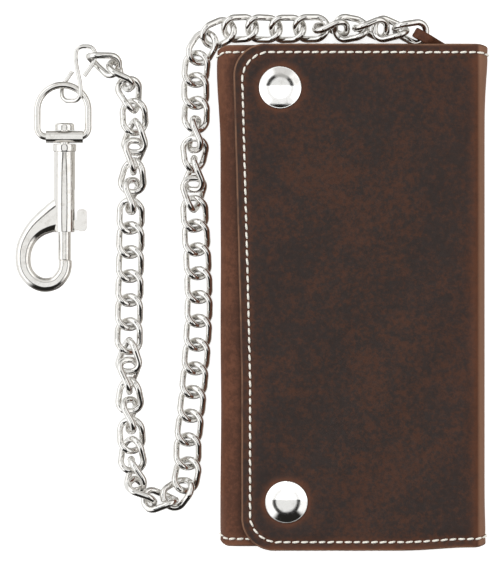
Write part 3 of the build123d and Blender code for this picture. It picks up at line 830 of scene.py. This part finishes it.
def make_back_skin():
    spine = np.linspace(0, SEAM_Z - BEND, 8)
    bend = SEAM_Z - BEND + np.linspace(0, BEND_RUN, 12)[1:]
    back = np.linspace(BACK_RUN, BACK_END, 90)[1:]
    c = np.concatenate([spine, bend, back])
    rows = spaced(-1.0, 1.0, 0.005, 0.011, 0.06)
    grid = []
    for row in rows:
        y = row * (back_half(c) - EDGE_ROUND)
        grid.append(back_surface(c, y))
    route = np.linspace(0, BACK_END, 160)
    seams = []
    for side in (1, -1):
        seam_y = side * (back_half(route) - SEAM_INSET)
        seams.append(seam_stations(*surface_path(back_surface, route, seam_y)))
    grid = seam_dimples(np.array(grid), seams)

    def pulled(points):
        x, y, _ = points.T
        rim = 0.7 * np.exp(-(((BACK_HALF - np.abs(y)) / 1.2) ** 2))
        return np.maximum(rim, 0.95 * smooth((x - 39.0) / 6.0))

    skin = leather_shell(
        "back_skin", grid, LEATHER, EDGE_ROUND, [DARK_LEATHER, FLESH, RAW_EDGE], ["west", "east"],
        seam_marks(seams, pulled),
    )
    stitches = stitch_piece("back_stitches", seams)
    for piece in (skin, stitches):
        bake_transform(piece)
    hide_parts("back_leather", "spine_lower_bend", "spine_leather")


FOLD_RUN = FOLD_RADIUS * math.pi
FLAP_RUN = FLAP_EDGE - FOLD_X
FLAP_CORNER = 6.0


def fold_flare(y):
    """The fold stands out towards its top end."""
    return 1.2 * np.exp(-(((79.0 - y) / 17.0) ** 2))


def flap_half(c):
    """The fold's two ends are pinched where the leather turns over."""
    turn = np.clip(c / FOLD_RADIUS, 0, math.pi)
    return BACK_HALF + 0.6 * smooth(turn / 2.2) - 1.5 * np.clip((np.sin(turn) - 0.6) / 0.4, 0, 1) ** 2


def flap_surface(c, y):
    """The outer face of fold and flap: c runs round the fold, then across the flap."""
    turn = np.clip(c / FOLD_RADIUS, 0, math.pi)
    across = np.clip(c - FOLD_RUN, 0, None)
    x = FOLD_X - FOLD_RADIUS * np.sin(turn) + across
    z = FOLD_RADIUS * (1 - np.cos(turn))
    bulge = np.sin(turn)
    x = x - fold_flare(y) * bulge**2 + 0.12 * ripple(y * 0.3, z, 20.0) * bulge
    return np.stack([x + 0 * y, y + 0 * x, z + 0 * y], axis=-1)


def flap_right(y):
    return FLAP_EDGE - FLAP_CORNER + corner_reach(y, BACK_HALF, FLAP_CORNER)


def make_flap_skin():
    fold = np.linspace(0, FOLD_RUN, 34)
    shares = np.linspace(0, 1, 36)[1:]
    straight = BACK_HALF - FLAP_CORNER
    grid = []
    for row in rounded_rows(BACK_HALF, FLAP_CORNER, 16, 1.0):
        right = flap_right(row * BACK_HALF) - EDGE_ROUND
        c = np.concatenate([fold, FOLD_RUN + shares * (right - FOLD_X)])
        grid.append(flap_surface(c, row * (flap_half(c) - EDGE_ROUND)))
    inset = 2.6
    turns = np.linspace(math.pi / 2, 0, 20)
    radius = FLAP_CORNER - inset
    corner_c = FOLD_RUN + FLAP_RUN - FLAP_CORNER
    head = [(c, flap_half(c) - inset) for c in np.linspace(0, corner_c, 120)[:-1]]
    corner = [(corner_c + radius * math.cos(a), straight + radius * math.sin(a)) for a in turns]
    side = [(corner_c + radius, y) for y in np.linspace(straight, 0, 60)[1:]]
    half_route = head + corner + side
    route = np.array(half_route + [(c, -y) for c, y in half_route[::-1][1:]])
    seams = [seam_stations(*surface_path(flap_surface, route[:, 0], route[:, 1]))]
    grid = seam_dimples(np.array(grid), seams)

    def pulled(points):
        x, y, _ = points.T
        rim = 0.7 * np.exp(-(((BACK_HALF - np.abs(y)) / 1.5) ** 2))
        return np.maximum(rim, 0.55 * smooth((-x - 43.5) / 3.0))

    # Painted shadow: the flap's upper face darkens towards the cover's left edge, where the cover shades it.
    def painted_cover_shadow(points):
        x, y, z = points.T
        return 0.42 * smooth((x - cover_left(y) + 3.2) / 3.6) * (z > FOLD_RADIUS)

    skin = leather_shell(
        "flap_skin", grid, LEATHER, EDGE_ROUND, [FOLD_LEATHER, FLESH, RAW_EDGE], ["west"],
        seam_marks(seams, pulled, painted_cover_shadow),
    )
    stitches = stitch_piece("flap_stitches", seams)
    for piece in (skin, stitches):
        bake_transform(piece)
    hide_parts("left_fold", "flap_leather")


# ---------------------------------------------------------------- inner panels
PANEL_INSET = 0.3
PANEL_ROUND = 0.28


def panel_wave(x, y):
    """All the layers of a stack share one slight unevenness, so they don't meet."""
    away = smooth((np.abs(x - 8.0) - 6.0) / 8.0)
    return 0.16 * ripple(x, y, 60.0) * away


def panel(node, body, facing, mouth=None, cut=0.0, lift=0.35, follow=None):
    """One inner layer, seen from above (facing 1) or from below (facing -1). Its pocket mouth is on
    the right or the left, where the layer stands off a little."""
    low, high = box_mm(node)
    inset = PANEL_INSET
    half = high[1] - inset
    face = high[2] if facing > 0 else low[2]
    ys = spaced(-half, half, 0.8, 1.8, 8.0)
    shares = spaced(0.0, 1.0, 0.02, 0.045, 0.12)
    rise = cut * CUT_SLOPE
    grid = []
    for y in ys:
        left = follow(y) if follow else low[0]
        right = high[0] - inset
        if cut:
            right = right - cut * np.clip((y - (high[1] - rise)) / rise, 0, 1)
        x = left + inset + shares * (right - left - inset)
        z = np.full(len(x), face) + facing * panel_wave(x, y)
        bow = np.cos(0.5 * np.pi * y / half)
        if mouth == "right":
            z = z + facing * lift * smooth((x - right + 4.0) / 4.0) * bow
        if mouth == "left":
            z = z + facing * lift * smooth((left + 4.0 - x) / 4.0) * bow
        grid.append(np.stack([x, np.full(len(x), y), z], axis=-1))
    grid = np.array(grid)
    if facing < 0:
        grid = grid[:, ::-1]
    seams = panel_seams(grid)
    grid = seam_dimples(grid, seams, 0.18)
    materials = [INNER_LEATHER, FLESH, RAW_EDGE]
    thickness = high[2] - low[2]
    skin = leather_shell(node + "_skin", grid, thickness, PANEL_ROUND, materials, (), seam_marks(seams))
    sew_layer(node, skin, body, seams)


def panel_seams(grid):
    """Rows of stitching inside the panel's head and foot."""
    normals = grid_normals(grid)
    seams = []
    ys = grid[:, 0, 1]
    for y in (ys[0] + 2.2, ys[-1] - 2.2):
        row = int(np.argmin(np.abs(ys - y)))
        seams.append(seam_stations(grid[row], normals[row]))
    return seams


def lining_left(y):
    """The cover lining's left edge follows the cover's, a little inside it."""
    margin = 1.2
    return cover_left(y * COVER_HALF / (COVER_HALF - margin)) + margin


def make_panels():
    panel("back_lining", "back", 1)
    panel("note_divider", "back", 1, "right", 20.0)
    panel("note_pocket", "back", 1, "right", 16.0)
    panel("purse_back", "back", 1, "right", 12.0)
    panel("cover_lining", "cover", -1, follow=lining_left)
    for node in ("cover_note_pocket", "card_slot_back", "card_slot_middle", "card_slot_front"):
        panel(node, "cover", -1, "left")
    panel("flap_lining", "flap", -1)


TEETH_LOW, TEETH_HIGH = box_mm("zip_teeth")
ZIP_MIDDLE = (TEETH_LOW[0] + TEETH_HIGH[0]) / 2
WINDOW_HALF = 4.5
WINDOW_END = 74.5


def make_purse_front():
    """The purse's front layer: leather round the zip's long window, sewn round the window."""
    low, high = box_mm("purse_front")
    middle, window_half = ZIP_MIDDLE, WINDOW_HALF
    inset = PANEL_INSET
    cut = 12.0
    rise = cut * CUT_SLOPE
    turns = np.linspace(0, math.pi, 40)
    straight = WINDOW_END - window_half
    side_y = np.linspace(-straight, straight, 110)[1:-1]
    inner = [(middle + window_half * math.cos(a), straight + window_half * math.sin(a)) for a in turns]
    inner += [(middle - window_half, y) for y in side_y[::-1]]
    inner += [(middle - window_half * math.cos(a), -straight - window_half * math.sin(a)) for a in turns]
    inner += [(middle + window_half, y) for y in side_y]
    inner = np.array(inner)
    corners = np.array([
        (high[0] - inset, high[1] - rise),
        (high[0] - cut, high[1] - inset),
        (low[0] + inset, high[1] - inset),
        (low[0] + inset, low[1] + inset),
        (high[0] - inset, low[1] + inset),
    ])
    outer = np.array([outline_point(x, y, corners) for x, y in inner])
    core = np.stack([np.full(len(inner), middle), np.clip(inner[:, 1], -straight, straight)], -1)
    normals_out = (inner - core) / np.linalg.norm(inner - core, axis=1, keepdims=True)
    levels = [0.0, 0.7, 1.4, 2.1, 2.8, 3.6]
    rings = [inner + normals_out * (inset + level) for level in levels]
    last = rings[-1]
    shares = np.linspace(0, 1, 20)[1:]
    rings += [last + share * (outer - last) for share in shares]
    plan = np.array(rings)
    z = high[2] + panel_wave(plan[..., 0], plan[..., 1])
    grid = np.concatenate([plan, z[..., None]], axis=-1)
    closed = np.concatenate([grid, grid[:, :1]], axis=1)
    path = closed[3]
    up = np.zeros_like(path)
    up[:, 2] = 1
    seams = [seam_stations(path, up)]
    rim = closed[-1] + (np.array([middle, 0, 0]) - closed[-1]) * np.array([0.05, 0.025, 0])
    seams.append(seam_stations(rim, up))
    annulus_piece("purse_front", grid, high[2] - low[2], seams)


def outline_point(x, y, corners):
    """Where the outline meets the line out from a point of the window: straight to the side along
    the window, turning round to the head or foot past its ends, and cut off at the slanted corner."""
    turn_from, turn_run = 66.0, 5.0
    left, bottom = corners.min(axis=0)
    right, top = corners.max(axis=0)
    end = top if y > 0 else bottom
    share = np.clip((abs(y) - turn_from) / turn_run, 0, 1)
    if share < 1:
        x_end = right if x > ZIP_MIDDLE else left
        y_end = math.copysign(abs(y) + (abs(end) - abs(y)) * share, y)
    else:
        spread = np.clip((x - ZIP_MIDDLE) / WINDOW_HALF, -1, 1)
        x_end = ZIP_MIDDLE + spread * (right - ZIP_MIDDLE if spread > 0 else ZIP_MIDDLE - left)
        y_end = end
    return x_end, min(y_end, corners[0][1] + (corners[0][0] - x_end) * CUT_SLOPE)


def annulus_piece(node, grid, thickness, seams):
    """A leather layer with an opening: rings of points from the opening out to the edge."""
    rings, columns = grid.shape[:2]
    holes = np.concatenate([s[3] for s in seams])
    near = np.array([nearest(ring, holes) for ring in grid])
    grid = grid - np.array([0, 0, 1]) * (0.18 * np.exp(-((near / 0.6) ** 2)))[..., None]
    up = np.array([0.0, 0.0, 1.0])
    top = grid.reshape(-1, 3)
    count = len(top)
    index = np.arange(count).reshape(rings, columns)
    points = [top, top - up * thickness]
    layers = []
    for ring, sign in ((0, -1), (rings - 1, 1)):
        edge = grid[ring]
        along = np.roll(edge, -1, axis=0) - np.roll(edge, 1, axis=0)
        outward = np.cross(along, up) * sign
        outward /= np.linalg.norm(outward, axis=1, keepdims=True)
        stack = [index[ring]]
        for out, depth in edge_profile(thickness, PANEL_ROUND):
            start = sum(len(p) for p in points)
            points.append(edge + outward * out - up * depth)
            stack.append(np.arange(start, start + columns))
        stack.append(index[ring] + count)
        layers.append((stack, sign))
    faces, kinds = [], []
    for k in range(rings - 1):
        quads = band_quads(index[k], index[k + 1])
        faces += quads.tolist() + (quads[:, ::-1] + count).tolist()
        kinds += [0] * columns + [1] * columns
    for stack, sign in layers:
        for upper, lower in zip(stack, stack[1:]):
            quads = band_quads(upper, lower)
            faces += quads.tolist() if sign > 0 else quads[:, ::-1].tolist()
            kinds += [2] * columns
    points = np.concatenate(points)
    pull, hole_and_shade = seam_marks(seams)(points)
    materials = [INNER_LEATHER, FLESH, RAW_EDGE]
    skin = make_piece(node + "_skin", points, faces, materials, kinds, pull=pull, hole_and_shade=hole_and_shade)
    sew_layer(node, skin, "back", seams)


def make_tape():
    """Two woven tapes with a thicker cord along the edge that holds the teeth."""
    low, high = box_mm("zip_tape")
    outer_edge = (high[0] - low[0]) / 2 - 0.05
    ys = np.linspace(low[1] + 0.1, high[1] - 0.1, 170)
    for side, name in ((1, "right"), (-1, "left")):
        offsets = np.concatenate([np.linspace(1.65, 3.2, 8), np.linspace(3.6, outer_edge, 12)])
        xs = ZIP_MIDDLE + side * offsets
        if side < 0:
            xs = xs[::-1]
        x, y = np.meshgrid(xs, ys)
        cord = 0.22 * np.exp(-(((np.abs(x - ZIP_MIDDLE) - 2.2) / 0.55) ** 2))
        z = high[2] - 0.05 + cord + 0.04 * ripple(x, y, 9.0)
        grid = np.stack([x, y, z], axis=-1)
        piece = leather_shell("zip_tape_" + name, grid, 0.4, 0.12, [TAPE, TAPE, TAPE])
        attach(piece, "back")
        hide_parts("zip_tape")


# ---------------------------------------------------------------- chain tab
def rounded_path(points, radius, steps=7):
    """A run of straight lines with a round bend at each inner corner."""
    points = [np.array(p, float) for p in points]
    path = [points[0]]
    for before, corner, after in zip(points, points[1:], points[2:]):
        arriving = (before - corner) / np.linalg.norm(before - corner)
        leaving = (after - corner) / np.linalg.norm(after - corner)
        half = math.acos(np.clip(arriving @ leaving, -1, 1)) / 2
        reach = radius / math.tan(half)
        inward = (arriving + leaving) / np.linalg.norm(arriving + leaving)
        centre = corner + inward * radius / math.sin(half)
        start, end = corner + arriving * reach - centre, corner + leaving * reach - centre
        for t in np.linspace(0, 1, steps):
            ray = start * (1 - t) + end * t
            path.append(centre + ray / np.linalg.norm(ray) * radius)
    path.append(points[-1])
    return np.array(path)


def make_chain_tab():
    """A narrow strap folded round the first link, its two tails held inside the wallet."""
    low, high = box_mm("chain_tab")
    nose = np.array([24.7, 91.6])
    heading = math.radians(150)
    along = np.array([math.cos(heading), math.sin(heading)])
    aside = np.array([along[1], -along[0], 0])
    half_width, half_thick, bend, sides = 1.8, 0.6, 2.1, 20
    tail = box_mm("note_divider")[0][2] + 0.05 + half_thick
    top, foot = high[2] - half_thick, low[2] + half_thick
    ends = [(-18.0, tail), (-6.5, tail), (-3.0, foot), (2.6, foot), (2.6, top), (-3.0, top)]
    ends += [(-6.5, tail + 2 * half_thick + 0.05), (-18.0, tail + 2 * half_thick + 0.05)]
    path = rounded_path(ends, bend)
    course = np.gradient(path, axis=0)
    course /= np.linalg.norm(course, axis=1, keepdims=True)
    around = np.arange(sides) * 2 * np.pi / sides
    wide = squared(np.cos(around), 0.35) * half_width
    thick = squared(np.sin(around), 0.6) * half_thick
    points = []
    for (s, z), (ds, dz) in zip(path, course):
        middle = np.array([*(nose + along * s), z])
        normal = np.array([*(-dz * along), ds])
        points += [middle + aside * w + normal * t for w, t in zip(wide, thick)]
    faces = tube_faces(len(path), sides)
    tab = make_piece("chain_tab_strap", np.array(points), faces, [FOLD_LEATHER])
    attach(tab, "back")
    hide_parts("chain_tab")


# ---------------------------------------------------------------- bolt snap
CLIP_X = (box_mm("swivel_rivet")[0][0] + box_mm("swivel_rivet")[1][0]) / 2
CLIP_Z = (box_mm("swivel_rivet")[0][2] + box_mm("swivel_rivet")[1][2]) / 2

# the hook's middle line, from inside the barrel round to its tip: across, along, half width, half height
HOOK = [
    (-0.5, 29.5, 5.6, 2.4),
    (-3.4, 27.8, 5.3, 2.5),
    (-6.3, 26.3, 4.5, 2.6),
    (-9.4, 24.2, 3.7, 2.6),
    (-12.15, 21.2, 3.1, 2.55),
    (-14.05, 17.3, 2.85, 2.5),
    (-14.65, 12.9, 2.7, 2.5),
    (-13.8, 8.6, 2.6, 2.45),
    (-11.1, 5.3, 2.5, 2.45),
    (-7.3, 3.75, 2.45, 2.45),
    (-3.25, 4.6, 2.4, 2.4),
    (-0.55, 7.6, 2.35, 2.35),
    (0.25, 10.2, 2.32, 2.32),
    (0.3, 12.3, 2.30, 2.30),
]


def through(points, steps):
    """A smooth curve through points of any number of values (Catmull-Rom)."""
    points = np.array(points, float)
    points = np.concatenate([[2 * points[0] - points[1]], points, [2 * points[-1] - points[-2]]])
    curve = []
    for a, b, c, d in zip(points, points[1:], points[2:], points[3:]):
        for t in np.linspace(0, 1, steps, endpoint=False):
            t2, t3 = t * t, t * t * t
            cubic = (3 * b - a - 3 * c + d) * t3
            curve.append(0.5 * (2 * b + (c - a) * t + (2 * a - 5 * b + 4 * c - d) * t2 + cubic))
    curve.append(points[-2])
    return np.array(curve)


def hook_mesh():
    """The snap's cast hook: a tapering oval bar with a square tip."""
    line = through(HOOK, 8)
    heading = np.gradient(line[:, :2], axis=0)
    heading /= np.linalg.norm(heading, axis=1, keepdims=True)
    across = np.stack([heading[:, 1], -heading[:, 0]], axis=-1)
    sides, fullness = 32, 0.86
    around = np.arange(sides) * 2 * np.pi / sides
    wide = squared(np.cos(around), fullness)
    tall = squared(np.sin(around), fullness)
    chamfer = line[-1] + np.array([0, 0.25, 0, 0])
    stations = [*zip(line, across, [1.0] * len(line)), (chamfer, across[-1], 0.88)]
    points = []
    for (x, y, half_width, half_height), side, share in stations:
        for w, h in zip(wide, tall):
            reach = half_width * share * w
            points.append((x + side[0] * reach, y + side[1] * reach, half_height * share * h))
    return np.array(points), tube_faces(len(stations), sides)


def turned(profile, segments=64):
    """A turned part about the clip's own axis, from a closed profile of radius and place along it."""
    points, faces = [], []
    for radius, y in profile:
        for k in range(segments):
            a = 2 * math.pi * k / segments
            points.append((radius * math.cos(a), y, radius * math.sin(a)))
    count = len(profile)
    for i in range(count):
        j = (i + 1) % count
        for k in range(segments):
            m = (k + 1) % segments
            faces.append((i * segments + k, i * segments + m, j * segments + m, j * segments + k))
    return np.array(points), faces


BOX_FACES = [(0, 3, 2, 1), (4, 5, 6, 7), (0, 1, 5, 4), (1, 2, 6, 5), (2, 3, 7, 6), (3, 0, 4, 7)]


def box_points(low, high):
    (a, b, c), (d, e, f) = low, high
    return np.array([(a, b, c), (d, b, c), (d, e, c), (a, e, c), (a, b, f), (d, b, f), (d, e, f), (a, e, f)])


def make_snap_body():
    """The snap's barrel, bored for the bolt and slotted for its lever, its collar and its hook."""
    foot, top, collar_top = 22.4, 51.0, 53.5
    bore, bore_top, rivet_hole, tiny = 2.4, 47.6, 1.85, 0.01
    slot_top, slot_half = 37.5, 1.15
    profile = [
        (bore, foot), (3.50, foot), (3.69, foot + 0.08), (3.75, foot + 0.3),
        (3.75, top - 0.55), (3.68, top - 0.40), (3.68, top - 0.22), (3.86, top - 0.08),
        (4.08, top + 0.05), (4.15, top + 0.3), (4.15, collar_top - 0.35), (4.07, collar_top - 0.12),
        (3.85, collar_top), (rivet_hole, collar_top), (rivet_hole, top - tiny), (tiny, top - tiny),
        (tiny, bore_top), (bore, bore_top),
    ]
    place = np.array([CLIP_X, 0, CLIP_Z])
    points, faces = turned(profile)
    barrel = make_piece("snap_barrel", points + place, faces, [CLIP_NICKEL])
    slot = box_points((0.0, foot - 2, -slot_half), (6.0, slot_top, slot_half))
    cutter = make_piece("cutter", slot + place, BOX_FACES, [])
    cut = barrel.modifiers.new("slot", "BOOLEAN")
    cut.object = cutter
    cut.operation = "DIFFERENCE"
    cut.solver = "EXACT"
    bpy.context.view_layer.update()
    shape = bpy.data.meshes.new_from_object(barrel.evaluated_get(bpy.context.evaluated_depsgraph_get()))
    barrel.modifiers.clear()
    barrel.data = shape
    bpy.data.objects.remove(cutter)
    shape.set_sharp_from_angle(angle=math.radians(38))
    points, faces = hook_mesh()
    hook = make_piece("snap_hook", points + place, faces, [CLIP_NICKEL])
    hook.data.set_sharp_from_angle(angle=math.radians(50))
    for piece in (barrel, hook):
        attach(piece, "snap")
        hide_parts("snap_body")
    return barrel, hook


# ---------------------------------------------------------------- metal parts
def metal_finishes():
    """The finish of each metal node, the chain's stretches among them."""
    finishes = dict.fromkeys(("snap_caps", "snap_sockets", "snap_studs", "snap_posts"), SNAP_NICKEL)
    finishes |= dict.fromkeys(("swivel_eye", "swivel_rivet", "snap_bolt"), CLIP_NICKEL)
    finishes["bolt_spring"] = SPRING_STEEL
    finishes |= dict.fromkeys(("zip_teeth", "zip_slider", "zip_puller"), ZIP_METAL)
    finishes["s_hook"] = CHAIN_NICKEL
    stretches = [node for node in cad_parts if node.startswith("chain_") and node != "chain_tab"]
    return finishes | dict.fromkeys(stretches, CHAIN_NICKEL)


def dress_metal():
    for node, finish in METAL_FINISHES.items():
        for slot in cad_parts[node].material_slots:
            slot.material = finish
    softened = {"zip_teeth": 0.18, "zip_slider": 0.2, "zip_puller": 0.15}
    for node, width in softened.items():
        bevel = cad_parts[node].modifiers.new("soft_edges", "BEVEL")
        bevel.width = width * MM
        bevel.segments = 2
        bevel.limit_method = "ANGLE"


METAL_FINISHES = metal_finishes()
make_camera()
make_world()
make_stage()
make_cover_skin()
make_back_skin()
make_flap_skin()
make_panels()
make_purse_front()
make_tape()
make_chain_tab()
SNAP_PIECES = make_snap_body()
dress_metal()
make_lights()

scene = bpy.context.scene
scene.view_settings.view_transform = "Standard"
